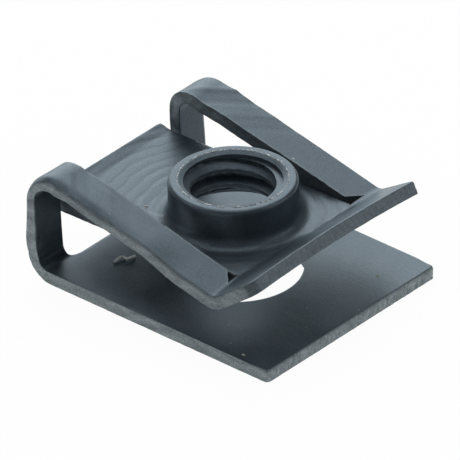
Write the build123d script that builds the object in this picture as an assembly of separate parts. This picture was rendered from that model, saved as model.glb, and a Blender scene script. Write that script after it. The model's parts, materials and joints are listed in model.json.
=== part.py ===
from build123d import *
import os
from math import cos, radians, sin, tan

# A U clip nut, folded from one strip of spring steel. A flat leaf lies at the bottom, two
# narrow legs turn up at the rear, and two arms come forward and down over the leaf to a
# crossbar with a turned-up lip. The tongue between the arms carries a drawn, tapped collar.
# X runs forward from the screw axis, Y across the clip, Z up from the underside of the leaf.

# The sheet.
thickness = 0.8
width = 15.0

# The leaf, and the hole that the screw passes through.
leaf_reach = 8.9
leaf_corner = 0.45
screw_hole_radius = 4.1

# The legs and the window between them.
heel_reach = 9.11
leg_lean = 4.0
leg_width = 2.2
window_reach = 7.57
window_corner = 0.7
heel_outer_radius = 1.75
heel_inner_radius = 0.65
shoulder_outer_radius = 1.9
shoulder_inner_radius = 1.0

# The arms, the valley where they meet the crossbar, and the lip in front of it.
arm_width = 2.35
arm_fall = 12.3
valley_reach = 4.8
valley_height = 4.42
valley_radius = 0.8
lip_rise = 32.0
lip_length = 2.95
lip_near_corner = 1.0
lip_far_corner = 0.35

# The tongue, sheared free of the arms, with its rear edge turned up a little.
shear_gap = 0.15
tongue_fall = 1.5
tongue_reach = 9.85
tail_length = 0.85
tail_rise = 14.0
tail_radius = 0.9
tongue_corner = 0.2

# The small reliefs where the shear cuts end at the crossbar.
relief_reach = 4.75
relief_depth = 0.85
relief_width = 0.85

# The drawn collar and its bore at the thread's minor size.
collar_radius = 3.79
collar_height = 2.42
collar_draft = 1.5
collar_flare = 1.1
collar_flare_radius = 0.99
rim_roll = 0.18
bore_radius = 2.5
bore_lead_radius = 3.2
bore_lead_depth = 0.6
bore_entry_radius = 0.6

# How far a cutting body runs past what it cuts, and the margin for picking edges at a reach.
overrun = 2.0
reach_margin = 0.01

# What follows from the values above.
half_width = width / 2
tongue_half_width = half_width - arm_width - shear_gap
window_half_width = half_width - leg_width
leg_slope = tan(radians(leg_lean))
arm_slope = tan(radians(arm_fall))
tongue_slope = tan(radians(tongue_fall))
shoulder_height = (valley_height + arm_slope * (valley_reach + heel_reach)) / (1 - arm_slope * leg_slope)
shoulder_reach = heel_reach + leg_slope * shoulder_height
lip_tip = (
    valley_reach + lip_length * cos(radians(lip_rise)),
    valley_height + lip_length * sin(radians(lip_rise)),
)
tail_reach = tongue_reach - tail_length * cos(radians(tail_rise))
tail_height = valley_height - tongue_slope * (valley_reach + tail_reach)
tail_tip = (-tongue_reach, tail_height + tail_length * sin(radians(tail_rise)))
collar_seat = valley_height - tongue_slope * valley_reach
tongue_normal = (-sin(radians(tongue_fall)), 0, cos(radians(tongue_fall)))
collar_plane = Plane(origin=(0, 0, collar_seat), z_dir=tongue_normal)


def inner_skin(outer_skin):
    """Return the corners of the sheet's other face, one thickness to the right of a path."""
    corners = [Vector(*point) for point in outer_skin]
    runs = [(end - start).normalized() for start, end in zip(corners, corners[1:])]
    sides = [Vector(run.Y, -run.X) for run in runs]
    inner = [corners[0] + sides[0] * thickness]
    for corner, before, after in zip(corners[1:], sides, sides[1:]):
        mitre = (before + after) * (thickness / (1 + before.dot(after)))
        inner.append(corner + mitre)
    inner.append(corners[-1] + sides[-1] * thickness)
    return [(point.X, point.Y) for point in inner]


def folded_sheet(outer_skin, outer_radii, inner_radii, breadth):
    """Extrude a folded strip from the corners of its outer face and the radii of its folds."""
    with BuildPart() as strip:
        with BuildSketch(Plane.XZ):
            with BuildLine():
                outer = FilletPolyline(*outer_skin, radius=outer_radii)
                inner = FilletPolyline(*inner_skin(outer_skin), radius=inner_radii)
                Line(outer @ 0, inner @ 0)
                Line(outer @ 1, inner @ 1)
            make_face()
        extrude(amount=breadth / 2, both=True)
    return strip.part


def clip_body():
    """The leaf, legs, arms and lip as one strip of full width."""
    outer_skin = [
        (leaf_reach, 0),
        (-heel_reach, 0),
        (-shoulder_reach, shoulder_height),
        (valley_reach, valley_height),
        lip_tip,
    ]
    outer_radii = [heel_outer_radius, shoulder_outer_radius, valley_radius]
    inner_radii = [heel_inner_radius, shoulder_inner_radius, valley_radius + thickness]
    return folded_sheet(outer_skin, outer_radii, inner_radii, width)


def tongue():
    """The strip between the arms, with the middle of the lip at its front."""
    outer_skin = [tail_tip, (-tail_reach, tail_height), (valley_reach, valley_height), lip_tip]
    outer_radii = [tail_radius, valley_radius]
    inner_radii = [tail_radius + thickness, valley_radius + thickness]
    strip = folded_sheet(outer_skin, outer_radii, inner_radii, 2 * tongue_half_width)
    rear_corners = strip.faces().sort_by(Axis.X)[0].edges().sort_by(Axis.Y)
    return fillet([rear_corners[0], rear_corners[-1]], tongue_corner)


def window():
    """The opening between the legs, from the leaf up through the shoulder."""
    rear = shoulder_reach + overrun
    length = rear - window_reach
    height = shoulder_height + 2 * overrun
    centre = Pos(-(rear + window_reach) / 2, 0, height / 2 - overrun)
    block = centre * Box(length, 2 * window_half_width, height)
    front_corners = block.edges().filter_by(Axis.Z).sort_by(Axis.X)[-2:]
    return fillet(front_corners, window_corner)


def tongue_clearance():
    """The space between the arms, from the crossbar back past the legs."""
    rear = shoulder_reach + overrun
    lowest = tail_height / 2
    height = shoulder_height + overrun - lowest
    half = half_width - arm_width
    centre = Pos((relief_reach - rear) / 2, 0, lowest + height / 2)
    return centre * Box(relief_reach + rear, 2 * half, height)


def shear_reliefs():
    """The three-cornered openings where the shear cuts reach the crossbar."""
    cut_edge = half_width - arm_width
    corners = [
        (relief_reach - relief_depth, cut_edge - shear_gap),
        (relief_reach, cut_edge - shear_gap),
        (relief_reach, cut_edge + relief_width),
        (relief_reach - relief_depth, cut_edge),
    ]
    with BuildPart() as reliefs:
        with BuildSketch(Plane.XY.offset(valley_height - 2 * thickness)):
            with BuildLine():
                Polyline(*corners, close=True)
            make_face()
            mirror(about=Plane.XZ)
        extrude(amount=3 * thickness)
    return reliefs.part


def collar():
    """The drawn collar, revolved about the tongue's normal through the screw axis."""
    mid_sheet = -thickness / 2
    root_radius = collar_radius + collar_height * tan(radians(collar_draft))
    with BuildPart() as drawn:
        with BuildSketch(Plane.XZ):
            with BuildLine():
                Polyline(
                    (bore_radius, mid_sheet),
                    (root_radius + collar_flare, mid_sheet),
                    (root_radius + collar_flare, 0),
                )
                FilletPolyline(
                    (root_radius + collar_flare, 0),
                    (root_radius, 0),
                    (collar_radius, collar_height),
                    (bore_lead_radius, collar_height),
                    radius=[collar_flare_radius, rim_roll],
                )
                Polyline(
                    (bore_lead_radius, collar_height),
                    (bore_radius, collar_height - bore_lead_depth),
                    (bore_radius, mid_sheet),
                )
            make_face()
        revolve(axis=Axis.Z)
    return collar_plane * drawn.part


def collar_bore():
    """What is open inside the collar, with the rounded entry of the draw on its underside."""
    with BuildPart() as opening:
        with BuildSketch(Plane.XZ):
            with BuildLine():
                Polyline(
                    (0, -thickness - overrun),
                    (bore_radius + bore_entry_radius, -thickness - overrun),
                    (bore_radius + bore_entry_radius, -thickness),
                )
                RadiusArc(
                    (bore_radius + bore_entry_radius, -thickness),
                    (bore_radius, -thickness + bore_entry_radius),
                    bore_entry_radius,
                )
                Polyline(
                    (bore_radius, -thickness + bore_entry_radius),
                    (bore_radius, collar_height - bore_lead_depth),
                    (bore_lead_radius, collar_height),
                    (bore_lead_radius, collar_height + overrun),
                    (0, collar_height + overrun),
                    (0, -thickness - overrun),
                )
            make_face()
        revolve(axis=Axis.Z)
    return collar_plane * opening.part


def lip_end_edges(clip):
    """The edges at the lip's two ends that run through the sheet, from near to far."""
    lip_normal = Axis((0, 0, 0), (-sin(radians(lip_rise)), 0, cos(radians(lip_rise))))
    upright = clip.edges().filter_by(lip_normal)
    return upright.filter_by_position(Axis.X, valley_reach + lip_length / 2, leaf_reach).sort_by(Axis.Y)


def round_plan_corners(clip):
    """Round the corners of the leaf's front edge and of the lip, as seen from above."""
    reach = (leaf_reach - reach_margin, leaf_reach + reach_margin)
    leaf_edges = clip.edges().filter_by(Axis.Z).filter_by_position(Axis.X, *reach)
    clip = fillet(leaf_edges, leaf_corner)
    clip = fillet(lip_end_edges(clip)[0], lip_near_corner)
    return fillet(lip_end_edges(clip)[-1], lip_far_corner)


def u_clip_nut():
    clip = clip_body() - tongue_clearance() - window()
    clip = clip + tongue() - shear_reliefs()
    clip = clip + collar() - collar_bore()
    clip = clip - Cylinder(screw_hole_radius, 2 * overrun)
    return round_plan_corners(clip)


os.makedirs("parts", exist_ok=True)
nut = u_clip_nut()
print("solids", len(nut.solids()), "volume", round(nut.volume, 3), "box", nut.bounding_box())
export_step(nut, "parts/u_clip_nut.step")
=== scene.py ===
# %% [markdown]
# # A u clip nut in blackened spring steel
# The clip is one strip of steel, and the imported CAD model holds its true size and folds.
# This lesson dresses it: the same blank is laid out flat, given the rounded and torn edges
# that a press leaves, folded along the same lines, and finished in satin phosphate.

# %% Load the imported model
import json
from collections import Counter
from math import atan2, ceil, cos, exp, pi, radians, sin, sqrt, tan

import bpy
from mathutils import Matrix, Vector, noise


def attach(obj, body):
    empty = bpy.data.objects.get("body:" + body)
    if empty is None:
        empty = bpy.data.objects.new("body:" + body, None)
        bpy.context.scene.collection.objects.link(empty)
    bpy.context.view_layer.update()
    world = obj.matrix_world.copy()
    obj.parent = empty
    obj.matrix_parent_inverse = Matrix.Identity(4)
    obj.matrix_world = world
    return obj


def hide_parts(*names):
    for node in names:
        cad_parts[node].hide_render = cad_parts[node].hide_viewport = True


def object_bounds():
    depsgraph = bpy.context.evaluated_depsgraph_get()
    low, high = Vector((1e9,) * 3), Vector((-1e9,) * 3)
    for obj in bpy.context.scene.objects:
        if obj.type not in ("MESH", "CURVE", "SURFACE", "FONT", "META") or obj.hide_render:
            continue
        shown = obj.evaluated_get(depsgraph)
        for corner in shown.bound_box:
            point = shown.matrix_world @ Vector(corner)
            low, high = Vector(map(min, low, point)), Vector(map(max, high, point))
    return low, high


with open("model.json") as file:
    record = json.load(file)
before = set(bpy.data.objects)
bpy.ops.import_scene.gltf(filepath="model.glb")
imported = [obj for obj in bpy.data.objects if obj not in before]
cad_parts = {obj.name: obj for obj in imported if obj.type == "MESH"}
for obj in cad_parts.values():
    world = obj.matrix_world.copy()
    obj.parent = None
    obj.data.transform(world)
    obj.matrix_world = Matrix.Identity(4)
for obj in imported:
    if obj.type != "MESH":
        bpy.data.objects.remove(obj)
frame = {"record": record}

MM = 0.001
cad_low, cad_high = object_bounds()

# %% [markdown]
# ## The clip's sizes
# The outer sizes are read from the frame, so the dressed clip can't drift from the CAD part.
# The folds and widths between them are the blank's own, in millimetres, with the screw axis
# at X = 0 and the underside of the leaf at Z = 0.

# %% Sizes in millimetres
mounts = {mount["name"]: mount for mount in frame["record"]["mounts"]}
leaf_reach = cad_high.x / MM
half_width = cad_high.y / MM
thickness = mounts["leaf_hole"]["dims"]["length_mm"]
screw_hole_radius = mounts["leaf_hole"]["dims"]["r_mm"]
bore_radius = mounts["collar_thread"]["dims"]["r_mm"]

leaf_corner = 0.32
heel_reach = 9.11
leg_slope = tan(radians(4.0))
leg_width = 2.2
window_reach = 7.57
window_corner = 0.7
arm_width = 2.35
arm_slope = tan(radians(12.3))
valley = Vector((4.8, 4.42))
lip_rise = radians(32.0)
lip_length = 2.95
lip_near_corner = 1.0
lip_far_corner = 0.25
shear_gap = 0.15
hole_edge_radius = screw_hole_radius - 0.14
hole_drift = (0.06, 0.1)
tongue_fall = radians(1.5)
tongue_reach = 9.85
tail_length = 0.85
tail_rise = radians(14.0)
relief_width = 0.85
far_relief_width = 1.2
relief_depth = 0.85
edge_roll = 0.2
arm_lean = 0.16
valley_radius = 0.8
shoulder_radii = (1.9, 1.0)
heel_radii = (1.75, 0.65)
kink_radius = 0.9

shoulder_height = (valley.y + arm_slope * (valley.x + heel_reach)) / (1 - arm_slope * leg_slope)
shoulder = Vector((-heel_reach - leg_slope * shoulder_height, shoulder_height))
lip_tip = valley + Vector((cos(lip_rise), sin(lip_rise))) * lip_length
tail_reach = tongue_reach - tail_length * cos(tail_rise)
tail_kink = Vector((-tail_reach, valley.y - tan(tongue_fall) * (valley.x + tail_reach)))
tail_tip = Vector((-tongue_reach, tail_kink.y + tail_length * sin(tail_rise)))
tongue_half = half_width - arm_width - shear_gap
arm_inside = half_width - arm_width
leg_inside = half_width - leg_width
print("blank width", round(2 * half_width, 3), "thickness", thickness)

# %% [markdown]
# ## How the strip folds
# A side view of the clip is a chain of straight runs and round folds. Each face of the sheet
# has its own chain, because the punch makes the inside of a fold tighter than its outside.
# A point of the flat blank is carried to the same fraction of the same run on both chains,
# and its depth in the sheet mixes the two. Distances run back from the tip of the lip.


# %% Follow one face of the folded sheet
def offset_corners(corners):
    """The corners of the sheet's inner face, one thickness to the left of the outer one."""
    runs = [(b - a).normalized() for a, b in zip(corners, corners[1:])]
    sides = [Vector((-run.y, run.x)) for run in runs]
    inner = [corners[0] + sides[0] * thickness]
    for corner, before, after in zip(corners[1:], sides, sides[1:]):
        inner.append(corner + (before + after) * (thickness / (1 + before.dot(after))))
    inner.append(corners[-1] + sides[-1] * thickness)
    return inner


def straight_run(start, end):
    return (end - start).length, lambda share: start.lerp(end, share)


def round_fold(start, centre, turn):
    arm = start - centre
    return arm.length * abs(turn), lambda share: centre + Matrix.Rotation(turn * share, 2) @ arm


def face_chain(corners, radii):
    """Runs and folds along one face, each a length and a function from 0..1 to a point."""
    chain = []
    start = corners[0]
    for before_at, corner, after_at, radius in zip(corners, corners[1:], corners[2:], radii):
        before = (corner - before_at).normalized()
        after = (after_at - corner).normalized()
        turn = atan2(before.x * after.y - before.y * after.x, before.dot(after))
        fold_start = corner - before * radius * tan(abs(turn) / 2)
        side = 1 if turn > 0 else -1
        centre = fold_start + Vector((-before.y, before.x)) * side * radius
        chain.append(straight_run(start, fold_start))
        chain.append(round_fold(fold_start, centre, turn))
        start = corner + after * radius * tan(abs(turn) / 2)
    chain.append(straight_run(start, corners[-1]))
    return chain


def make_fold(corners, outer_radii, inner_radii):
    """Return the stations along a strip and the function that folds a point of it."""
    outer = face_chain(corners, outer_radii)
    inner = face_chain(offset_corners(corners), inner_radii)
    lengths = [(a[0] + b[0]) / 2 for a, b in zip(outer, inner)]
    stations = [0.0]
    for length in lengths:
        stations.append(stations[-1] + length)

    def fold(along, depth):
        index = 0
        while index < len(lengths) - 1 and along > stations[index + 1]:
            index += 1
        share = (along - stations[index]) / lengths[index]
        return outer[index][1](share).lerp(inner[index][1](share), depth / thickness)

    return stations, fold


# %% [markdown]
# The real clip is one blank with two ways through its folds. The arms run from the lip through
# the valley, the shoulder and the heel to the leaf's front. The tongue shares the lip and the
# valley and then runs nearly level to its turned-up end. Each gets its own fold, with the
# places where its bends start and end.

# %% The two folded strips: arms with legs and leaf, and the tongue
leaf_front = Vector((leaf_reach, 0.0))
heel = Vector((-heel_reach, 0.0))
arm_stations, fold_arm = make_fold(
    [lip_tip, valley, shoulder, heel, leaf_front],
    [valley_radius, shoulder_radii[0], heel_radii[0]],
    [valley_radius + thickness, shoulder_radii[1], heel_radii[1]],
)
tongue_stations, fold_tongue = make_fold(
    [lip_tip, valley, tail_kink, tail_tip],
    [valley_radius, kink_radius],
    [valley_radius + thickness, kink_radius + thickness],
)
valley_start, valley_end, shoulder_start, shoulder_end, heel_start = arm_stations[1:6]
leaf_end = arm_stations[-1]
tongue_start, kink_start, kink_end, tongue_end = tongue_stations[2:]
print("developed length of the strip in mm:", round(arm_stations[-1], 2))
print("developed length to the tongue's end:", round(tongue_stations[-1], 2))

# %% [markdown]
# ## The flat blank
# The blank is laid out in quads, patch by patch, just inside its real outline: the crossbar
# with the lip, the two arms that run on as legs, the leaf round its screw hole, the tongue
# round its collar, and the tongue's tail. Patches share the points along their borders, so
# the whole blank is one sheet. The rims come later and bring it out to the real outline.

# %% Helpers that lay out patches of the blank
# How many quads lie across or along each patch, then the widest pitch of rows in millimetres.
arm_steps = 12
tongue_steps = 56
bar_gap_steps = 5
bar_steps = 24
corner_steps = 6
border_steps = 40
leaf_side_steps = 60
leaf_front_steps = 70
tongue_side_steps = 52
leaf_rings = 16
collar_rings = 24
valley_pitch = 0.1
relief_pitch = 0.07
run_pitch = 0.16
shoulder_pitch = 0.11
heel_pitch = 0.07
kink_pitch = 0.06
tail_pitch = 0.1

blank_points = []
blank_index = {}
blank_faces = []


def blank_point(along, across):
    """The number of a point of the blank. Points at the same place are one point."""
    key = (round(along, 4), round(across, 4))
    if key not in blank_index:
        blank_index[key] = len(blank_points)
        blank_points.append((along, across))
    return blank_index[key]


def add_rows(rows):
    """Fill quads between neighbouring rows of point numbers."""
    for row, following in zip(rows, rows[1:]):
        for a, b, c, d in zip(row, row[1:], following[1:], following):
            if len({a, b, c, d}) == 4:
                blank_faces.append((a, b, c, d))


def spread(start, end, steps):
    return [start + (end - start) * i / steps for i in range(steps + 1)]


def ring_patch(outline, centre, radius, rings):
    """Fill between a closed outline and a circle inside it. Return the circle's points."""
    circle = []
    for along, across in outline:
        angle = atan2(across - centre[1], along - centre[0])
        circle.append((centre[0] + radius * cos(angle), centre[1] + radius * sin(angle)))
    rows = []
    for step in range(rings + 1):
        share = step / rings
        row = []
        for (a, b), (c, d) in zip(outline + outline[:1], circle + circle[:1]):
            row.append(blank_point(a + (c - a) * share, b + (d - b) * share))
        rows.append(row)
    add_rows(rows)
    return rows[-1][:-1]


# %% [markdown]
# Distances along the strip take the place of a drawing of the blank: where the crossbar ends
# in the valley's fold, where the window's front edge lies, and where the screw's axis crosses
# the leaf and the tongue. The tongue swells a little beside the collar, as drawn steel does.

# %% Where things lie along the strip
bar_share = 0.75
collar_patch_reach = 5.6
tongue_swell = 0.1
swell_fade = (4.0, 7.0)

bar_end = valley_start + (valley_end - valley_start) * bar_share
relief_end = bar_end + relief_depth
leaf_axis = leaf_end - leaf_reach
leaf_border = leaf_end - leaf_reach - window_reach + edge_roll
collar_foot = Vector((0, valley.y - tan(tongue_fall) * valley.x))
tongue_axis = tongue_start + (fold_tongue(tongue_start, 0) - collar_foot).length
tongue_rear = tongue_axis + collar_patch_reach
tail_end = tongue_end - edge_roll
rim_line = half_width - edge_roll
tongue_line = tongue_half - edge_roll
print("end of the crossbar and screw axis on the tongue:", round(bar_end, 2), round(tongue_axis, 2))


# %% [markdown]
# The inner edge of each arm isn't one straight line. It steps out where the small relief
# meets the crossbar, narrows a little from arm to leg round the shoulder, and sweeps in to
# the leaf with the window's round corner.


# %% The inner edge of an arm and leg
lean_start = bar_end + 2.0
narrowing_start = shoulder_start + 1.0
relief_curve = 0.8


def smooth_step(low, high, value):
    """0 at low, 1 at high and a smooth rise between them, which may run either way."""
    share = min(max((value - low) / (high - low), 0.0), 1.0)
    return share * share * (3 - 2 * share)


def inner_edge(along, side):
    """How far from the middle the inner edge of the arm or leg lies, inside its rim."""
    edge = arm_inside - arm_lean * smooth_step(lean_start, shoulder_start, along)
    edge += (leg_inside - edge) * smooth_step(narrowing_start, shoulder_end, along)
    edge += edge_roll
    if along < relief_end:
        width = relief_width if side < 0 else far_relief_width
        edge += width * ((relief_end - along) / relief_depth) ** relief_curve
    radius = window_corner + edge_roll
    gap = leaf_border - along
    if gap < radius:
        edge -= radius - sqrt(max(radius**2 - (radius - gap) ** 2, 0.0))
    return edge


def arm_row(along, side):
    edge = inner_edge(along, side)
    return [(along, side * (edge + (rim_line - edge) * share)) for share in spread(0, 1, arm_steps)]


def rows_between(limits, pitches):
    """Places of rows from limit to limit, each stretch with its own greatest pitch."""
    rows = limits[:1]
    for start, end, pitch in zip(limits, limits[1:], pitches):
        rows += spread(start, end, max(1, ceil((end - start) / pitch)))[1:]
    return rows


# %% [markdown]
# The patches are laid so that quads follow what the light will show: rings round the two
# holes, and rows across the arms that crowd together where the steel bends. A grid with a
# boolean cut would leave stray long triangles at the holes, and they would show in the sheen.

# %% Lay out the arms, crossbar, leaf and tongue
def round_corner(along, across, side, radius):
    """Move a point of the lip's front corner square onto a round corner."""
    inner = radius - edge_roll
    start_along, start_across = edge_roll + inner, rim_line - inner
    a = (start_along - along) / inner
    b = (side * across - start_across) / inner
    if a <= 0 or b <= 0:
        return along, across
    return (
        start_along - inner * a * sqrt(1 - b * b / 2),
        side * (start_across + inner * b * sqrt(1 - a * a / 2)),
    )


def tongue_edge(along):
    """Half the tongue's width inside its rim. It is widest beside the crossbar."""
    start, end = (bar_end + reach for reach in swell_fade)
    return tongue_line + tongue_swell * (1 - smooth_step(start, end, along))


def tongue_columns(along):
    edge = tongue_edge(along)
    return spread(-edge, edge, tongue_steps)


def crossbar_columns():
    halves = []
    for side in (-1, 1):
        arm_part = [abs(place[1]) for place in arm_row(bar_end, side)]
        halves.append(spread(tongue_edge(bar_end), arm_part[0], bar_gap_steps)[:-1] + arm_part)
    return [-across for across in reversed(halves[0])] + tongue_columns(bar_end)[1:-1] + halves[1]


def add_crossbar():
    columns = crossbar_columns()
    rows = []
    for along in spread(edge_roll, bar_end, bar_steps):
        row = []
        for across in columns:
            side, radius = (1, lip_far_corner) if across > 0 else (-1, lip_near_corner)
            row.append(blank_point(*round_corner(along, across, side, radius)))
        rows.append(row)
    add_rows(rows)


def add_arms():
    limits = [bar_end, valley_end, relief_end, shoulder_start, shoulder_end, heel_start, leaf_border]
    pitches = [valley_pitch, relief_pitch, run_pitch, shoulder_pitch, run_pitch, heel_pitch]
    places = sorted(set(rows_between(limits, pitches)))
    for side in (-1, 1):
        add_rows([[blank_point(*place) for place in arm_row(along, side)] for along in places])


def rounded_leaf_corner(side):
    inner = leaf_corner - edge_roll
    centre = (leaf_end - leaf_corner, side * (half_width - leaf_corner))
    angles = spread(pi / 2, 0, corner_steps)
    return [(centre[0] + inner * cos(a), centre[1] + side * inner * sin(a)) for a in angles]


def leaf_outline():
    near, far = arm_row(leaf_border, -1), arm_row(leaf_border, 1)
    border = [(leaf_border, y) for y in spread(near[0][1], far[0][1], border_steps)][1:-1]
    rear = near[::-1] + border + far
    far_corner = rounded_leaf_corner(1)
    near_corner = rounded_leaf_corner(-1)[::-1]
    far_side = [(x, rim_line) for x in spread(leaf_border, far_corner[0][0], leaf_side_steps)][1:-1]
    front_line = spread(far_corner[-1][1], near_corner[0][1], leaf_front_steps)[1:-1]
    front = [(leaf_end - edge_roll, y) for y in front_line]
    near_side = [(x, -rim_line) for x in spread(near_corner[-1][0], leaf_border, leaf_side_steps)][1:-1]
    return rear + far_side + far_corner + front + near_corner + near_side


def tongue_outline():
    front = [(bar_end, y) for y in tongue_columns(bar_end)]
    far_side = [(x, tongue_edge(x)) for x in spread(bar_end, tongue_rear, tongue_side_steps)][1:-1]
    rear = [(tongue_rear, y) for y in tongue_columns(tongue_rear)[::-1]]
    near_side = [(x, -tongue_edge(x)) for x in spread(tongue_rear, bar_end, tongue_side_steps)][1:-1]
    return front + far_side + rear + near_side


def add_tail():
    columns = tongue_columns(tongue_rear)
    places = rows_between([tongue_rear, kink_start, kink_end, tail_end], [run_pitch, kink_pitch, tail_pitch])
    add_rows([[blank_point(along, across) for across in columns] for along in places])


flare_foot = 4.55
add_crossbar()
add_arms()
hole_centre = (leaf_axis + hole_drift[0], hole_drift[1])
ring_patch(leaf_outline(), hole_centre, hole_edge_radius + edge_roll, leaf_rings)
collar_circle = ring_patch(tongue_outline(), (tongue_axis, 0.0), flare_foot, collar_rings)
add_tail()
print("flat blank:", len(blank_points), "points,", len(blank_faces), "faces")

# %% [markdown]
# ## What the press leaves along a cut
# A cut edge has three bands. The punch first pulls the face down in a smooth roll, then
# shears a bright band, and the last third tears and leaves a small burr. Each rim point is
# followed outwards through these bands, with a little seeded roughness that grows downwards.
# The leaf was cut from its upper face and the arms from theirs, so the roll changes sides
# along the legs.

# %% Profile of a cut edge
# Rolls are given as width and depth. Levels are shares of the thickness below the rolled face.
roll_steps = 4
wall_levels = [0.42, 0.55, 0.68, 0.80, 0.90, 0.97]
wall_roughness = [0.6, 1.0, 1.0, 1.0, 1.0, 0.7]
wide_roll = (0.16, 0.24)
mild_roll = (0.11, 0.15)
front_roll = (0.15, 0.22)
crisp_roll = (0.05, 0.05)
roll_roughness = 0.1
foot_set_back = 0.03
foot_roughness = 0.5
roll_change = (0.4, 1.6)
front_change = (leaf_end - 1.5, leaf_end - 0.5)
bar_merge = 0.3
# Two places or lines closer than these are taken as one.
same_place = 0.0001
same_line = 0.02


def blend(first, second, share):
    return tuple(a + (b - a) * share for a, b in zip(first, second))


def cut_profile(roll):
    """Outward reach, depth and roughness from the rolled face to the torn face, in mm."""
    width, depth = roll
    profile = [(edge_roll - width, 0.0, 0.0)]
    for step in range(1, roll_steps + 1):
        angle = pi / 2 * step / roll_steps
        reach = edge_roll - width * (1 - sin(angle))
        profile.append((reach, depth * (1 - cos(angle)), roll_roughness * step))
    for level, rough in zip(wall_levels, wall_roughness):
        profile.append((edge_roll, max(level * thickness, depth), rough))
    profile.append((edge_roll - foot_set_back, thickness, foot_roughness))
    return profile


def rim_profile(along, across):
    """The cut edge at a place on the blank's outline, listed from outer to inner face."""
    in_leaf = smooth_step(shoulder_end, heel_start, along)
    outside_edge = abs(across) > rim_line - leaf_corner
    if outside_edge or along < bar_end or along > leaf_end - 2 * leaf_corner:
        side_roll = blend(mild_roll, wide_roll, smooth_step(*roll_change, along))
        upper = cut_profile(blend(side_roll, crisp_roll, in_leaf))
        front = smooth_step(*front_change, along)
        lower = cut_profile(blend(crisp_roll, front_roll, front))
        turned = in_leaf
    elif abs(across) < tongue_half and along < tongue_end:
        upper = lower = cut_profile(mild_roll)
        turned = 0.0
    else:
        upper = lower = cut_profile(crisp_roll)
        turned = 1.0
    flipped = [(reach, thickness - depth, rough) for reach, depth, rough in reversed(lower)]
    return [blend(a, b, turned) for a, b in zip(upper, flipped)]


def tongue_share(along, across):
    """1 where the blank follows the tongue's fold, 0 where it follows the arms' fold."""
    if along > bar_end + same_place:
        return 1.0 if abs(across) < arm_inside - same_line and along < tongue_end else 0.0
    edge = tongue_edge(bar_end)
    return 1 - smooth_step(edge, edge + relief_width + bar_merge, abs(across))


def boundary_normals():
    """The outward direction at each point of the blank's outline, leaving out the collar."""
    uses = {}
    for face in blank_faces:
        middle = [sum(blank_points[i][k] for i in face) / 4 for k in (0, 1)]
        for a, b in zip(face, face[1:] + face[:1]):
            uses.setdefault(frozenset((a, b)), []).append(((a, b), middle))
    collar_points = set(collar_circle)
    normals, edges = {}, []
    for shared in uses.values():
        (a, b), middle = shared[0]
        if len(shared) != 1 or (a in collar_points and b in collar_points):
            continue
        start, end = Vector(blank_points[a]), Vector(blank_points[b])
        normal = Vector((end.y - start.y, start.x - end.x)).normalized()
        if normal.dot((start + end) / 2 - Vector(middle)) < 0:
            normal.negate()
        edges.append((a, b))
        for point in (a, b):
            normals.setdefault(point, []).append(normal)
    return {point: sum(both, Vector((0, 0))).normalized() for point, both in normals.items()}, edges


outline_normals, outline_edges = boundary_normals()
print("outline points:", len(outline_normals))

# %% [markdown]
# ## Small marks of the forming
# The real clip isn't perfectly even. The shoulders carry a slanting crease from the press,
# draw rings run round the collar, one arm has settled a little, and the lip is not quite
# straight. The outer edges slump where the arms were bent, and their inner edges hang where the
# tongue was sheared out. These are gentle moves of the folded sheet, mostly along its normal.

# %% Unevenness of the folded sheet
crease_height = 0.13
crease_spread = 0.42
crease_start = shoulder_start + 0.96
crease_slant = 2.16
crease_pitch = 1.55
faint_creases = (-0.03, 0.022, -0.014)
faint_spread = 0.34
ring_height = 0.02
ring_pitch = 0.78
ring_fade = 5.0
ring_start = 0.3
shoulder_sink = 0.09
arm_sag = 0.36
lip_bow = 0.3
leg_bulge = 0.16
shear_hang = 0.36
hang_width = 0.2
outer_slump = 0.3
slump_width = (0.72, 1.1)
far_share = 0.25
soft_top = 0.03
cad_top = cad_high.z / MM

# Where along the strip each mark starts, is full, begins to fade, and ends.
sink_span = (shoulder_start - 2.5, shoulder_start, shoulder_end - 1, shoulder_end + 0.5)
slump_span = (bar_end + 3, shoulder_start - 1, shoulder_end, heel_start)
bulge_span = (shoulder_start + 0.2, shoulder_end - 0.6, heel_start - 1, heel_start + 0.6)
hang_span = (bar_end, bar_end + 1, bar_end + 5, bar_end + 8)
sag_span = (0.6, bar_end + 0.6, bar_end + 2.6, bar_end + 5.6)


def within(span, along):
    """1 in the full part of a span, 0 outside it, with smooth slopes between."""
    start, full, fading, end = span
    return smooth_step(start, full, along) * smooth_step(end, fading, along)


def shoulder_crease(along, outward):
    """Slanting press marks: one strong crease on the shoulder and fainter ones in front of it."""
    line = crease_start - crease_slant * outward
    lift = crease_height * exp(-abs(along - line) / crease_spread) * (0.5 + 0.5 * outward)
    for index, height in enumerate(faint_creases, 1):
        offset = (along - line + crease_pitch * index) / faint_spread
        lift += height * exp(-offset * offset)
    return lift


def draw_rings(along, across):
    """Shallow rings round the collar, which fade outwards and come and go along their length."""
    beyond = sqrt((along - tongue_axis) ** 2 + across**2) - flare_foot
    if beyond < 0:
        return 0.0
    fade = smooth_step(0, ring_start, beyond) * exp(-beyond / ring_fade)
    fade *= 0.6 + 0.8 * noise.noise(Vector((along * 0.5, across * 0.5, 8.1)))
    return ring_height * fade * sin(2 * pi * beyond / ring_pitch)


def settled_arm(along, across):
    """How far the near arm's outer edge has sunk, most of all just behind the crossbar."""
    if across > -arm_inside:
        return 0.0
    return arm_sag * (-across - arm_inside) / arm_width * within(sag_span, along)


def arm_outward(across):
    """0 at an arm's inner edge and 1 at its outer edge."""
    return min(max((abs(across) - arm_inside) / arm_width, 0.0), 1.0)


def side_share(across):
    """The near side took more of the press's wear than the far side."""
    return 1.0 if across < 0 else far_share


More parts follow.
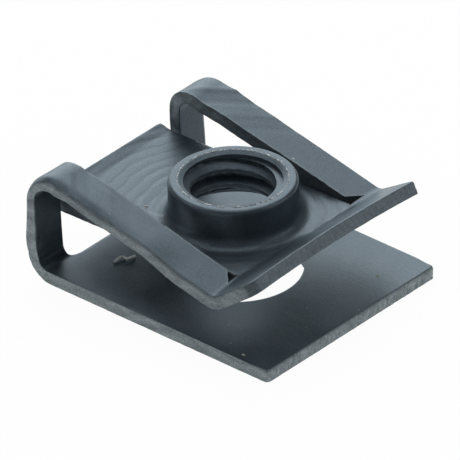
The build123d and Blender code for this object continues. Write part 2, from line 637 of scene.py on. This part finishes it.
def arm_rise(along, across, depth):
    """How far an arm's or leg's sheet lies above its true fold, along its own normal."""
    outward = arm_outward(across)
    below = depth / thickness
    slump = smooth_step(*slump_width, outward) * (1 - below) * within(slump_span, along)
    hang = smooth_step(hang_width, 0.0, outward) * below**2 * within(hang_span, along)
    rise = shoulder_crease(along, outward) - shoulder_sink * within(sink_span, along)
    return rise - outer_slump * slump * side_share(across) - shear_hang * hang


def below_top(height):
    """Heights near the CAD part's top are eased under it."""
    limit = cad_top - soft_top
    if height > limit:
        return cad_top - soft_top * exp((limit - height) / soft_top)
    return height


def folded(along, across, depth, share):
    """A point of the blank, folded, as a point in space in millimetres."""
    place = Vector((0.0, 0.0))
    normal = Vector((0.0, 0.0))
    for fold, part in ((fold_arm, 1 - share), (fold_tongue, share)):
        if part > 0:
            place += fold(along, depth) * part
            normal += (fold(along, 0) - fold(along, thickness)).normalized() * part
    if share == 1.0:
        place += normal * draw_rings(along, across)
    elif along < heel_start and share == 0.0:
        place += normal * arm_rise(along, across, depth)
        place.x -= leg_bulge * within(bulge_span, along) * side_share(across) * arm_outward(across)
    bow = lip_bow * (1 - (across / half_width) ** 2) * smooth_step(valley_end, 0.0, along)
    return Vector((place.x, across, below_top(place.y + bow - settled_arm(along, across))))


# %% [markdown]
# ## The drawn collar and its thread
# The collar is a turned form: a flare rises from the tongue into a plain wall, the rim is
# faced off, and a lead opens the bore. The thread is a spiral of the standard sixty degree
# form, so a row of the bore is no circle: its radius follows the spiral round. It runs out
# into the lead above and into the drawn funnel below, where the larger of the two holds.

# %% Rows of the collar from the tongue's face, over the rim and down the bore
collar_radius = 3.79
collar_height = 2.42
collar_draft = tan(radians(0.5))
thread_pitch = 1.0
thread_depth = 0.52
lead_radius = 3.2
lead_depth = 0.13
lead_foot_radius = 2.9
counterbore_depth = 0.36
entry_reach = 1.35
entry_depth = 0.95
thread_start = 0.1
rim_roll = 0.24
thread_crest = 0.25
thread_root = 0.125
funnel_curve = 0.85
funnel_runout = 0.4
flare_steps = 8
wall_steps = 10
roll_round_steps = 7
rim_steps = 4
root_radius = collar_radius + collar_height * collar_draft
flare_radius = flare_foot - root_radius


def thread_cut(angle, height):
    """Depth of the thread at a place in the bore: crest, flank, root and flank of one turn."""
    turn = (height / thread_pitch - angle / (2 * pi) + thread_start) % 1.0
    flank = (1 - thread_crest - thread_root) / 2
    if turn < thread_crest:
        return 0.0
    if turn < thread_crest + flank:
        return thread_depth * (turn - thread_crest) / flank
    if turn < thread_crest + flank + thread_root:
        return thread_depth
    return thread_depth * (1 - turn) / flank


def outside_rows():
    """Radius and height of each row from the flare's foot up the wall to the lead."""
    rows = []
    for angle in spread(pi / 18, pi / 2, flare_steps):
        rows.append((flare_foot - flare_radius * sin(angle), flare_radius * (1 - cos(angle))))
    for height in spread(flare_radius, collar_height - rim_roll, wall_steps)[1:]:
        rows.append((root_radius - height * collar_draft, height))
    for angle in spread(0, pi / 2, roll_round_steps)[1:]:
        centre = collar_radius - rim_roll
        rows.append((centre + rim_roll * cos(angle), collar_height - rim_roll + rim_roll * sin(angle)))
    for radius in spread(collar_radius - rim_roll, lead_radius, rim_steps)[1:]:
        rows.append((radius, collar_height))
    return rows


def bore_row(angle, height):
    """Radius of the bore: the lead at the rim, the thread, and the drawn funnel at the foot."""
    thread = bore_radius + thread_cut(angle, height)
    below_rim = collar_height - height
    if below_rim < lead_depth:
        return lead_radius + (lead_foot_radius - lead_radius) * below_rim / lead_depth
    if below_rim < counterbore_depth:
        return max(thread, lead_foot_radius)
    foot = height + thickness
    if foot < entry_depth:
        funnel = bore_radius + entry_reach * (1 - foot / entry_depth) ** funnel_curve
        return max(funnel, min(thread, bore_radius + foot * funnel_runout))
    return thread


def collar_point(radius, angle, height):
    """A point of the collar's turned form, on the tongue's slope, in millimetres."""
    forward = Vector((cos(tongue_fall), 0, sin(tongue_fall)))
    up = Vector((-sin(tongue_fall), 0, cos(tongue_fall)))
    across = Vector((0, 1, 0))
    seat = Vector((0, 0, collar_foot.y))
    return seat + forward * (radius * cos(angle)) + across * (radius * sin(angle)) + up * height


# %% [markdown]
# ## Put the sheet together
# Both faces of the blank, the rims between them and the collar's rows go into one closed
# mesh. A plate with bend modifiers would give the folds too, but it couldn't give both faces
# their own fold radii, nor a cut edge that rolls and tears, so the points are worked out. The
# share of bare steel at each point is kept as an attribute, which the finish reads later:
# cut edges are greyer and rougher than the pressed faces.

# %% Build the closed mesh of the clip
tear_depth = 0.036
tear_pitch = (2.2, 2.2, 1.6)
tear_waves = ((1.0, 0.045), (3.3, 0.035))
least_tear = 0.004
inner_edge_line = rim_line - 0.4
inner_edge_span = (bar_end - 0.2, leaf_border + 0.1)
inner_edge_bareness = 0.25
arm_bareness = 0.7
lip_bareness = 0.22
lip_front = 0.6
bare_roughness = (-0.02, 0.38)
# Rows down the bore: in the lead, in the step below it, in the thread and in the funnel.
bore_steps = (4, 5, 42, 12)
foot_steps = 8
step_gap = 0.01

clip_points = []
clip_cut = []
clip_faces = []


def clip_point(place, cut):
    clip_points.append(place * MM)
    clip_cut.append(cut)
    return len(clip_points) - 1


def face_points(depth):
    return [
        clip_point(folded(along, across, depth, tongue_share(along, across)), 0.0)
        for along, across in blank_points
    ]


outer_face = face_points(0.0)
inner_face = face_points(thickness)
for face in blank_faces:
    clip_faces.append(tuple(outer_face[i] for i in face))
    clip_faces.append(tuple(inner_face[i] for i in reversed(face)))


def bareness(along, across):
    """How bare of coat the cut edge is at a place on the outline."""
    if along < lip_front:
        return lip_bareness
    start, end = inner_edge_span
    if abs(across) < inner_edge_line and start < along < end:
        return inner_edge_bareness
    return arm_bareness if along < shoulder_start else 1.0


def rim_points(point):
    """The rim at one outline point, from the outer face round to the inner face."""
    along, across = blank_points[point]
    normal = outline_normals[point]
    share = tongue_share(along, across)
    around = []
    for reach, depth, rough in rim_profile(along, across):
        seed = Vector(a * b for a, b in zip((along, across, depth), tear_pitch))
        tear = tear_depth + sum(height * noise.noise(seed * scale) for scale, height in tear_waves)
        reach -= rough * max(tear, least_tear)
        place = folded(along + normal.x * reach, across + normal.y * reach, depth, share)
        around.append(clip_point(place, bareness(along, across) * smooth_step(*bare_roughness, rough)))
    return [outer_face[point]] + around + [inner_face[point]]


rims = {point: rim_points(point) for point in outline_normals}
for a, b in outline_edges:
    for first, second, third, fourth in zip(rims[a], rims[a][1:], rims[b][1:], rims[b]):
        clip_faces.append((first, second, third, fourth))


def add_collar():
    angles = [atan2(blank_points[i][1], -(blank_points[i][0] - tongue_axis)) for i in collar_circle]
    rows = [[outer_face[i] for i in collar_circle]]
    for radius, height in outside_rows():
        rows.append([clip_point(collar_point(radius, angle, height), 0.0) for angle in angles])
    lead_foot, step_foot = collar_height - lead_depth, collar_height - counterbore_depth
    funnel_top = entry_depth - thickness
    heights = spread(collar_height, lead_foot, bore_steps[0])[1:]
    heights += spread(lead_foot - step_gap, step_foot, bore_steps[1])
    heights += spread(step_foot - step_gap, funnel_top, bore_steps[2])
    heights += spread(funnel_top, -thickness, bore_steps[3])[1:]
    for height in heights:
        places = [collar_point(bore_row(angle, height), angle, height) for angle in angles]
        rows.append([clip_point(place, 0.0) for place in places])
    for radius in spread(bore_radius + entry_reach, flare_foot, foot_steps)[1:-1]:
        rows.append([clip_point(collar_point(radius, angle, -thickness), 0.0) for angle in angles])
    rows.append([inner_face[i] for i in collar_circle])
    for row, following in zip(rows, rows[1:]):
        for i in range(len(row)):
            j = (i + 1) % len(row)
            clip_faces.append((row[i], row[j], following[j], following[i]))


add_collar()
clip_mesh = bpy.data.meshes.new("spring_steel_clip")
clip_mesh.from_pydata(clip_points, [], clip_faces)
cut_attribute = clip_mesh.attributes.new("cut_edge", "FLOAT", "POINT")
cut_attribute.data.foreach_set("value", clip_cut)
clip_mesh.validate()
clip = bpy.data.objects.new("spring_steel_clip", clip_mesh)
bpy.context.collection.objects.link(clip)
print("clip mesh:", len(clip_mesh.vertices), "points,", len(clip_mesh.polygons), "faces")


# %% [markdown]
# The patches, rims and collar share their points already, and merging doubles makes sure of
# it. A sheet of steel has no open edge, so a count of edges without two faces is the test.
# Smooth shading by angle keeps the folds soft and the sheared corners crisp.

# %% Turn the faces outwards and shade the folds smoothly
def take_up(piece):
    bpy.ops.object.select_all(action="DESELECT")
    piece.select_set(True)
    bpy.context.view_layer.objects.active = piece


def close_and_smooth(piece, angle):
    take_up(piece)
    bpy.ops.object.mode_set(mode="EDIT")
    bpy.ops.mesh.select_all(action="SELECT")
    bpy.ops.mesh.remove_doubles(threshold=0.001 * MM)
    bpy.ops.mesh.normals_make_consistent(inside=False)
    bpy.ops.object.mode_set(mode="OBJECT")
    bpy.ops.object.shade_smooth_by_angle(angle=angle)


close_and_smooth(clip, radians(42))
edge_uses = Counter(key for face in clip.data.polygons for key in face.edge_keys)
print("edges without two faces:", sum(uses != 2 for uses in edge_uses.values()))
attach(clip, "root")
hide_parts("u_clip_nut")

# %% [markdown]
# ## The finish
# Phosphate and oil on spring steel is a dark blue-black with a satin sheen. It is a thin
# crystal coat, so it has a very fine grain, faint clouds, and drawn-out lines along the
# rolling direction. Cut edges took less of it and stay greyer. All of it could be painted as
# an image, but worked out from the object's own coordinates it stays sharp at any distance.

# %% Small helpers for shader trees
def colour_ramp(nodes, stops):
    ramp = nodes.new("ShaderNodeValToRGB")
    elements = ramp.color_ramp.elements
    while len(elements) < len(stops):
        elements.new(0.5)
    for element, (position, colour) in zip(elements, stops):
        element.position = position
        element.color = (*colour, 1.0)
    return ramp


def map_value(nodes, links, source, low, high, from_low=0.3, from_high=0.7):
    node = nodes.new("ShaderNodeMapRange")
    node.inputs["From Min"].default_value = from_low
    node.inputs["From Max"].default_value = from_high
    node.inputs["To Min"].default_value = low
    node.inputs["To Max"].default_value = high
    links.new(source, node.inputs["Value"])
    return node.outputs["Result"]


def math_node(nodes, links, operation, first, second):
    node = nodes.new("ShaderNodeMath")
    node.operation = operation
    for socket, value in zip(node.inputs, (first, second)):
        if isinstance(value, (int, float)):
            socket.default_value = value
        else:
            links.new(value, socket)
    return node.outputs["Value"]


def mix_node(nodes, links, share, first, second, kind="RGBA"):
    node = nodes.new("ShaderNodeMix")
    node.data_type = kind
    chosen = [socket for socket in node.inputs if socket.enabled]
    for socket, value in zip(chosen, (share, first, second)):
        if isinstance(value, (int, float, tuple)):
            socket.default_value = value
        else:
            links.new(value, socket)
    return [socket for socket in node.outputs if socket.enabled][0]


# %% [markdown]
# The coat's grain is three noises: fine crystals, soft clouds of thicker and thinner coat, and
# lines drawn out along the strip. They sit in a node group, because the burr, the lint and the
# dust borrow the same grain for their own materials.

# %% A node group for the fine grain of coated steel
def new_group(name, inputs, outputs):
    group = bpy.data.node_groups.new(name, "ShaderNodeTree")
    for socket, kind, value in inputs:
        made = group.interface.new_socket(socket, in_out="INPUT", socket_type=kind)
        made.default_value = value
    for socket, kind in outputs:
        group.interface.new_socket(socket, in_out="OUTPUT", socket_type=kind)
    return group, group.nodes.new("NodeGroupInput"), group.nodes.new("NodeGroupOutput")


def build_grain_group():
    group, given, result = new_group(
        "coated_steel_grain",
        [("Grain Scale", "NodeSocketFloat", 9000.0), ("Cloud Scale", "NodeSocketFloat", 420.0)],
        [("Grain", "NodeSocketFloat"), ("Clouds", "NodeSocketFloat"), ("Lines", "NodeSocketFloat")],
    )
    nodes, links = group.nodes, group.links
    place = nodes.new("ShaderNodeTexCoord")
    grain = nodes.new("ShaderNodeTexNoise")
    grain.inputs["Detail"].default_value = 4.0
    grain.inputs["Roughness"].default_value = 0.6
    clouds = nodes.new("ShaderNodeTexNoise")
    clouds.inputs["Detail"].default_value = 5.0
    clouds.inputs["Roughness"].default_value = 0.55
    stretch = nodes.new("ShaderNodeMapping")
    stretch.inputs["Scale"].default_value = (0.12, 1.0, 0.5)
    lines = nodes.new("ShaderNodeTexNoise")
    lines.inputs["Scale"].default_value = 5200.0
    lines.inputs["Detail"].default_value = 3.0
    links.new(place.outputs["Object"], grain.inputs["Vector"])
    links.new(place.outputs["Object"], clouds.inputs["Vector"])
    links.new(place.outputs["Object"], stretch.inputs["Vector"])
    links.new(stretch.outputs["Vector"], lines.inputs["Vector"])
    links.new(given.outputs["Grain Scale"], grain.inputs["Scale"])
    links.new(given.outputs["Cloud Scale"], clouds.inputs["Scale"])
    links.new(grain.outputs["Fac"], result.inputs["Grain"])
    links.new(clouds.outputs["Fac"], result.inputs["Clouds"])
    links.new(lines.outputs["Fac"], result.inputs["Lines"])
    return group


grain_group = build_grain_group()


# %% [markdown]
# Clips lie loose in a box and rub on each other, so the coat has a few pale specks and short
# scratches. A Voronoi cell gives one speck, kept only where the cell's random colour is high,
# and a stretched, turned noise gives the scratches.

# %% A node group for small marks: light specks and fine scratches
def build_marks_group():
    group, given, result = new_group(
        "small_marks",
        [("Speck Scale", "NodeSocketFloat", 900.0), ("Scratch Scale", "NodeSocketFloat", 700.0)],
        [("Specks", "NodeSocketFloat"), ("Scratches", "NodeSocketFloat")],
    )
    nodes, links = group.nodes, group.links
    place = nodes.new("ShaderNodeTexCoord")
    cells = nodes.new("ShaderNodeTexVoronoi")
    links.new(place.outputs["Object"], cells.inputs["Vector"])
    links.new(given.outputs["Speck Scale"], cells.inputs["Scale"])
    dot = map_value(nodes, links, cells.outputs["Distance"], 1.0, 0.0, 0.03, 0.075)
    chosen = map_value(nodes, links, cells.outputs["Color"], 0.0, 1.0, 0.72, 0.78)
    links.new(math_node(nodes, links, "MULTIPLY", dot, chosen), result.inputs["Specks"])
    turned = nodes.new("ShaderNodeMapping")
    turned.inputs["Rotation"].default_value = (0.2, 0.1, radians(52))
    turned.inputs["Scale"].default_value = (0.07, 1.0, 0.6)
    links.new(place.outputs["Object"], turned.inputs["Vector"])
    strokes = nodes.new("ShaderNodeTexNoise")
    strokes.inputs["Detail"].default_value = 3.0
    links.new(turned.outputs["Vector"], strokes.inputs["Vector"])
    links.new(given.outputs["Scratch Scale"], strokes.inputs["Scale"])
    scratch = map_value(nodes, links, strokes.outputs["Fac"], 0.0, 1.0, 0.66, 0.74)
    links.new(scratch, result.inputs["Scratches"])
    return group


marks_group = build_marks_group()


# %% [markdown]
# Fine dark rings round the collar are laid into the colour. They follow
# the distance from the screw axis, and a mask by height and width keeps them on the tongue.

# %% Dark rings round the collar, as a mask on the tongue
tongue_low = (3.7, 3.9)
tongue_high = (4.5, 4.7)
ring_wander = 9.0


# A mask of dark rings round the screw axis, on the tongue only.
def dark_ring_mask(nodes, links, wobble):
    place = nodes.new("ShaderNodeTexCoord")
    flat = nodes.new("ShaderNodeVectorMath")
    flat.operation = "MULTIPLY"
    flat.inputs[1].default_value = (1.0, 1.0, 0.0)
    links.new(place.outputs["Object"], flat.inputs[0])
    reach = nodes.new("ShaderNodeVectorMath")
    reach.operation = "LENGTH"
    links.new(flat.outputs["Vector"], reach.inputs[0])
    turns = math_node(nodes, links, "MULTIPLY", reach.outputs["Value"], 2 * pi / (ring_pitch * MM))
    bend = math_node(nodes, links, "MULTIPLY", wobble, ring_wander)
    wave = math_node(nodes, links, "SINE", math_node(nodes, links, "ADD", turns, bend), 0.0)
    ring = map_value(nodes, links, wave, 0.0, 1.0, 0.45, 1.0)
    height = nodes.new("ShaderNodeSeparateXYZ")
    links.new(place.outputs["Object"], height.inputs["Vector"])
    above = map_value(nodes, links, height.outputs["Z"], 0.0, 1.0, *(z * MM for z in tongue_low))
    below = map_value(nodes, links, height.outputs["Z"], 1.0, 0.0, *(z * MM for z in tongue_high))
    width = math_node(nodes, links, "ABSOLUTE", height.outputs["Y"], 0.0)
    inside = map_value(nodes, links, width, 1.0, 0.0, (tongue_half - 0.1) * MM, tongue_half * MM)
    level = math_node(nodes, links, "MULTIPLY", above, below)
    tongue_only = math_node(nodes, links, "MULTIPLY", level, inside)
    return math_node(nodes, links, "MULTIPLY", ring, tongue_only)


# %% [markdown]
# One material serves the whole sheet. It starts from the coat's blue-black, darkens it in fine
# rings round the collar, scratches and specks it, and changes to bare grey steel where the mesh
# says that the edge is cut. The coat is partly metallic with a cool tint, and the crystals roughen it.

# %% The material of the coated sheet
thick_coat = (0.028, 0.038, 0.048)
thin_coat = (0.064, 0.084, 0.102)
ring_tone = (0.022, 0.028, 0.034, 1.0)
scratch_tone = (0.16, 0.18, 0.19, 1.0)
speck_tone = (0.30, 0.31, 0.29, 1.0)
dull_cut = (0.12, 0.145, 0.155)
bright_cut = (0.35, 0.395, 0.41)
cool_sheen = (0.72, 0.90, 1.0, 1.0)
coat_roughness = (0.30, 0.44)
ring_roughness = 0.5
cut_roughness = 0.6
crystal_height = 0.016
crystal_strength = 0.7
coat_metal = 0.4
scratch_share = 0.35


def coated_steel():
    material = bpy.data.materials.new("phosphated_spring_steel")
    material.use_nodes = True
    nodes, links = material.node_tree.nodes, material.node_tree.links
    shader = nodes["Principled BSDF"]
    grain = nodes.new("ShaderNodeGroup")
    grain.node_tree = grain_group
    marks = nodes.new("ShaderNodeGroup")
    marks.node_tree = marks_group
    cut = nodes.new("ShaderNodeAttribute")
    cut.attribute_name = "cut_edge"

    clouds, fine, lines = (grain.outputs[name] for name in ("Clouds", "Grain", "Lines"))
    face_ramp = colour_ramp(nodes, [(0.34, thick_coat), (0.66, thin_coat)])
    links.new(mix_node(nodes, links, 0.5, clouds, fine, "FLOAT"), face_ramp.inputs["Fac"])
    rings = dark_ring_mask(nodes, links, clouds)
    ring_share = math_node(nodes, links, "MULTIPLY", rings, map_value(nodes, links, clouds, 0.2, 0.6))
    face = mix_node(nodes, links, ring_share, face_ramp.outputs["Color"], ring_tone)
    worn = math_node(nodes, links, "MULTIPLY", marks.outputs["Scratches"], scratch_share)
    face = mix_node(nodes, links, worn, face, scratch_tone)
    face = mix_node(nodes, links, marks.outputs["Specks"], face, speck_tone)
    edge_ramp = colour_ramp(nodes, [(0.36, dull_cut), (0.64, bright_cut)])
    links.new(mix_node(nodes, links, 0.5, fine, lines, "FLOAT"), edge_ramp.inputs["Fac"])
    colour = mix_node(nodes, links, cut.outputs["Fac"], face, edge_ramp.outputs["Color"])
    links.new(colour, shader.inputs["Base Color"])

    rough_face = map_value(nodes, links, clouds, *coat_roughness)
    rough_face = mix_node(nodes, links, ring_share, rough_face, ring_roughness, "FLOAT")
    roughness = mix_node(nodes, links, cut.outputs["Fac"], rough_face, cut_roughness, "FLOAT")
    links.new(roughness, shader.inputs["Roughness"])

    soft_lines = map_value(nodes, links, lines, 0.0, 0.12)
    height = math_node(nodes, links, "ADD", fine, soft_lines)
    height = math_node(nodes, links, "SUBTRACT", height, marks.outputs["Scratches"])
    bump = nodes.new("ShaderNodeBump")
    bump.inputs["Distance"].default_value = crystal_height * MM
    bump.inputs["Strength"].default_value = crystal_strength
    links.new(height, bump.inputs["Height"])
    links.new(bump.outputs["Normal"], shader.inputs["Normal"])
    shader.inputs["Metallic"].default_value = coat_metal
    shader.inputs["Specular Tint"].default_value = cool_sheen
    return material


clip.data.materials.append(coated_steel())

# %% [markdown]
# ## The burr on the collar's rim
# Facing the collar leaves a torn thread of steel round the lead, thick in some places and
# rubbed off in others. It starts as a torus, and seeded noise makes it swell and thin out.

# %% Model the burr from a torus
burr_thickness = 0.03
burr_radius = lead_radius + burr_thickness
burr_height = collar_height - 0.005
burr_wander = 0.03
thinnest_burr = 0.2

bpy.ops.object.select_all(action="DESELECT")
bpy.ops.mesh.primitive_torus_add(
    major_radius=burr_radius * MM, minor_radius=burr_thickness * MM, major_segments=256, minor_segments=8
)
burr = bpy.context.active_object
burr.name = "rim_burr"


def shape_burr(piece):
    """Swell, thin and bend the torus as a torn burr is, and seat it on the collar's rim."""
    for point in piece.data.vertices:
        x, y, z = (value / MM for value in point.co)
        angle = atan2(y, x)
        reach = sqrt(x * x + y * y) - burr_radius
        lump = noise.noise(Vector((cos(angle) * 9, sin(angle) * 9, 2.0)))
        fine = noise.noise(Vector((cos(angle) * 70, sin(angle) * 70, 5.0)))
        size = max(thinnest_burr, 0.75 + 1.3 * lump + 1.7 * fine)
        wander = burr_wander * noise.noise(Vector((cos(angle) * 6, sin(angle) * 6, 9.0)))
        radius = burr_radius + wander + reach * size
        point.co = collar_point(radius, angle, burr_height + z * size) * MM


shape_burr(burr)
close_and_smooth(burr, radians(60))
print("burr points:", len(burr.data.vertices))


# %% [markdown]
# The burr is bare steel where it is rubbed and dark where it isn't, and lint and dust are pale
# and dull. All three are one simple recipe: two colours mixed by the grain.

# %% Finish of the burr, the lint and the dust
def plain_material(name, colours, metallic, roughness, scale):
    material = bpy.data.materials.new(name)
    material.use_nodes = True
    nodes, links = material.node_tree.nodes, material.node_tree.links
    shader = nodes["Principled BSDF"]
    grain = nodes.new("ShaderNodeGroup")
    grain.node_tree = grain_group
    grain.inputs["Grain Scale"].default_value = scale
    ramp = colour_ramp(nodes, [(0.42, colours[0]), (0.58, colours[1])])
    links.new(grain.outputs["Grain"], ramp.inputs["Fac"])
    links.new(ramp.outputs["Color"], shader.inputs["Base Color"])
    shader.inputs["Metallic"].default_value = metallic
    shader.inputs["Roughness"].default_value = roughness
    return material


def dress(piece, material):
    piece.data.materials.append(material)
    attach(piece, "root")
    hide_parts("u_clip_nut")


burr_colours = [(0.03, 0.035, 0.04), (0.52, 0.54, 0.53)]
dress(burr, plain_material("rubbed_burr", burr_colours, 0.5, 0.4, 6500.0))

# %% [markdown]
# ## Lint and dust
# A curl of lint and a few grains of dust lie on the clip. The lint is a thin curve with
# thickness, turned into a mesh, and the grains are flattened icospheres.

# %% Model the lint and the dust
lint_points = [(-5.46, -4.24), (-5.47, -3.9), (-5.52, -3.6), (-5.30, -3.5), (-5.05, -3.62)]
lint_points += [(-4.98, -3.4), (-5.00, -3.15), (-4.9, -3.0)]
lint_radius = 0.062
lint_lift = 0.05


def make_lint():
    path = bpy.data.curves.new("lint", "CURVE")
    path.dimensions = "3D"
    path.bevel_depth = lint_radius * MM
    path.bevel_resolution = 2
    path.use_fill_caps = True
    strand = path.splines.new("NURBS")
    strand.points.add(len(lint_points) - 1)
    for index, (x, y) in enumerate(lint_points):
        lift = thickness + lint_radius + lint_lift * (index % 3)
        strand.points[index].co = (x * MM, y * MM, lift * MM, 1.0)
    strand.use_endpoint_u = True
    strand.order_u = 4
    lint = bpy.data.objects.new("lint", path)
    bpy.context.collection.objects.link(lint)
    take_up(lint)
    bpy.ops.object.convert(target="MESH")
    bpy.ops.object.shade_smooth()
    return bpy.context.active_object


leaf_dust = [(6.64, -7.0, 0.10), (3.93, -5.10, 0.045), (5.28, -6.51, 0.045), (7.46, -2.40, 0.045)]
leaf_dust += [(7.07, 4.49, 0.075), (6.2, -0.8, 0.03), (2.2, -6.2, 0.03)]
tongue_dust = [(-6.41, 1.07, 0.05), (-8.02, 2.26, 0.035), (-4.55, -2.46, 0.075), (-7.3, -2.0, 0.03)]


def make_dust():
    bpy.ops.object.select_all(action="DESELECT")
    grains = []
    for x, y, size in leaf_dust + tongue_dust:
        floor_z = thickness if (x, y, size) in leaf_dust else collar_foot.y + tan(tongue_fall) * x
        bpy.ops.mesh.primitive_ico_sphere_add(
            subdivisions=2, radius=size * MM, location=(x * MM, y * MM, floor_z * MM)
        )
        bpy.ops.object.mode_set(mode="EDIT")
        bpy.ops.transform.resize(value=(1.3, 0.8, 0.45))
        bpy.ops.object.mode_set(mode="OBJECT")
        grains.append(bpy.context.active_object)
    for grain in grains:
        grain.select_set(True)
    bpy.ops.object.join()
    bpy.ops.object.transform_apply(location=True, rotation=True, scale=True)
    return bpy.context.active_object


dust_material = plain_material("pale_dust", [(0.16, 0.15, 0.12), (0.42, 0.42, 0.36)], 0.0, 0.9, 3000.0)
lint_material = plain_material("pale_lint", [(0.86, 0.88, 0.84), (0.97, 0.98, 0.95)], 0.0, 0.9, 3000.0)
lint = make_lint()
dust = make_dust()
dust.name = "dust_grains"
dress(lint, lint_material)
dress(dust, dust_material)
print("lint points:", len(lint.data.vertices), "dust points:", len(dust.data.vertices))

# %% [markdown]
# ## Floor, light and camera
# A small part is shown best on a pale floor that keeps its soft shadow. A plain plane does for
# the floor. It is white to the camera, and under the lamps it stays a light grey, so that it
# doesn't throw more light back up on the clip than a real sheet of paper would.

# %% Floor that shows white and keeps the shadow
floor_gap = 0.02
floor_size = 1.2
floor_grey = (0.86, 0.86, 0.86, 1.0)
white_share = 0.96

floor_height = cad_low.z - floor_gap * MM
bpy.ops.mesh.primitive_plane_add(size=floor_size, location=(0, 0, floor_height))
floor = bpy.context.active_object
floor.name = "pale_floor"


def pale_floor():
    """Mostly white to the camera and to shining metal, and a plain grey under every light."""
    material = bpy.data.materials.new("pale_floor")
    material.use_nodes = True
    nodes, links = material.node_tree.nodes, material.node_tree.links
    shader = nodes["Principled BSDF"]
    shader.inputs["Base Color"].default_value = floor_grey
    shader.inputs["Roughness"].default_value = 0.9
    white = nodes.new("ShaderNodeEmission")
    white.inputs["Strength"].default_value = 1.0
    path = nodes.new("ShaderNodeLightPath")
    seen = math_node(nodes, links, "MAXIMUM", path.outputs["Is Camera Ray"], path.outputs["Is Glossy Ray"])
    seen = math_node(nodes, links, "MAXIMUM", seen, path.outputs["Is Transmission Ray"])
    share = math_node(nodes, links, "MULTIPLY", seen, white_share)
    mix = nodes.new("ShaderNodeMixShader")
    links.new(share, mix.inputs["Fac"])
    links.new(shader.outputs["BSDF"], mix.inputs[1])
    links.new(white.outputs["Emission"], mix.inputs[2])
    links.new(mix.outputs["Shader"], nodes["Material Output"].inputs["Surface"])
    return material


floor.data.materials.append(pale_floor())


# %% [markdown]
# The light is that of a small light tent: a large box from behind and left, a softer one from
# above, and weak ones from the sides, over an even surround. The surround is dim for the clip
# and white to the camera alone, so that a low view shows white behind the floor too.

# %% Lamps and world
surround_light = 0.24


def soft_lamp(name, place, size, watts):
    light = bpy.data.lights.new(name, "AREA")
    light.shape = "RECTANGLE"
    light.size, light.size_y = size
    light.energy = watts
    lamp = bpy.data.objects.new(name, light)
    bpy.context.collection.objects.link(lamp)
    lamp.location = place
    lamp.rotation_euler = Vector(place).to_track_quat("Z", "Y").to_euler()
    return lamp


soft_lamp("back_softbox", (-0.28, 0.30, 0.34), (0.40, 0.40), 1.5)
soft_lamp("top_softbox", (-0.02, 0.05, 0.50), (0.45, 0.45), 0.9)
soft_lamp("side_softbox", (0.36, 0.26, 0.22), (0.30, 0.30), 0.4)
soft_lamp("left_softbox", (-0.30, -0.26, 0.34), (0.30, 0.30), 0.45)
soft_lamp("low_panel", (-0.42, 0.36, 0.10), (0.50, 0.18), 0.75)


def studio_world():
    world = bpy.data.worlds.new("studio")
    world.use_nodes = True
    nodes, links = world.node_tree.nodes, world.node_tree.links
    surround = nodes["Background"]
    open_white = nodes.new("ShaderNodeBackground")
    for backdrop, strength in ((surround, surround_light), (open_white, 1.0)):
        backdrop.inputs["Color"].default_value = (1.0, 1.0, 1.0, 1.0)
        backdrop.inputs["Strength"].default_value = strength
    path = nodes.new("ShaderNodeLightPath")
    mix = nodes.new("ShaderNodeMixShader")
    links.new(path.outputs["Is Camera Ray"], mix.inputs["Fac"])
    links.new(surround.outputs["Background"], mix.inputs[1])
    links.new(open_white.outputs["Background"], mix.inputs[2])
    links.new(mix.outputs["Shader"], nodes["World Output"].inputs["Surface"])
    return world


bpy.context.scene.world = studio_world()

# %% [markdown]
# The camera looks down at the open front corner from far off. A long lens there keeps the
# clip's parallel edges nearly parallel, as a close-up lens on a small part does. The view is
# aimed near the middle of the clip, and its width is given in millimetres at that place.

# %% Camera
aim_height = 4.0
camera_azimuth = radians(40.33)
camera_rise = radians(32.09)
camera_distance = 1250.0
view_width = 26.5038
sensor_width = 36.0
side_offset = -0.23
rise_offset = -0.665

level_look = Vector((-sin(camera_azimuth), cos(camera_azimuth), 0.0))
look = level_look * cos(camera_rise) - Vector((0, 0, sin(camera_rise)))
right = Vector((cos(camera_azimuth), sin(camera_azimuth), 0.0))
up = right.cross(look)
aim = Vector((0, 0, aim_height)) + right * side_offset + up * rise_offset
camera_data = bpy.data.cameras.new("camera")
camera_data.sensor_width = sensor_width
camera_data.lens = camera_distance * sensor_width / view_width
camera_data.clip_start = 0.05
camera_data.clip_end = 20.0
camera = bpy.data.objects.new("camera", camera_data)
bpy.context.collection.objects.link(camera)
turn = Matrix((right, up, -look)).transposed().to_4x4()
camera.matrix_world = Matrix.Translation((aim - look * camera_distance) * MM) @ turn
bpy.context.scene.camera = camera
bpy.context.scene.view_settings.view_transform = "Standard"
print("lens:", round(camera_data.lens, 1))
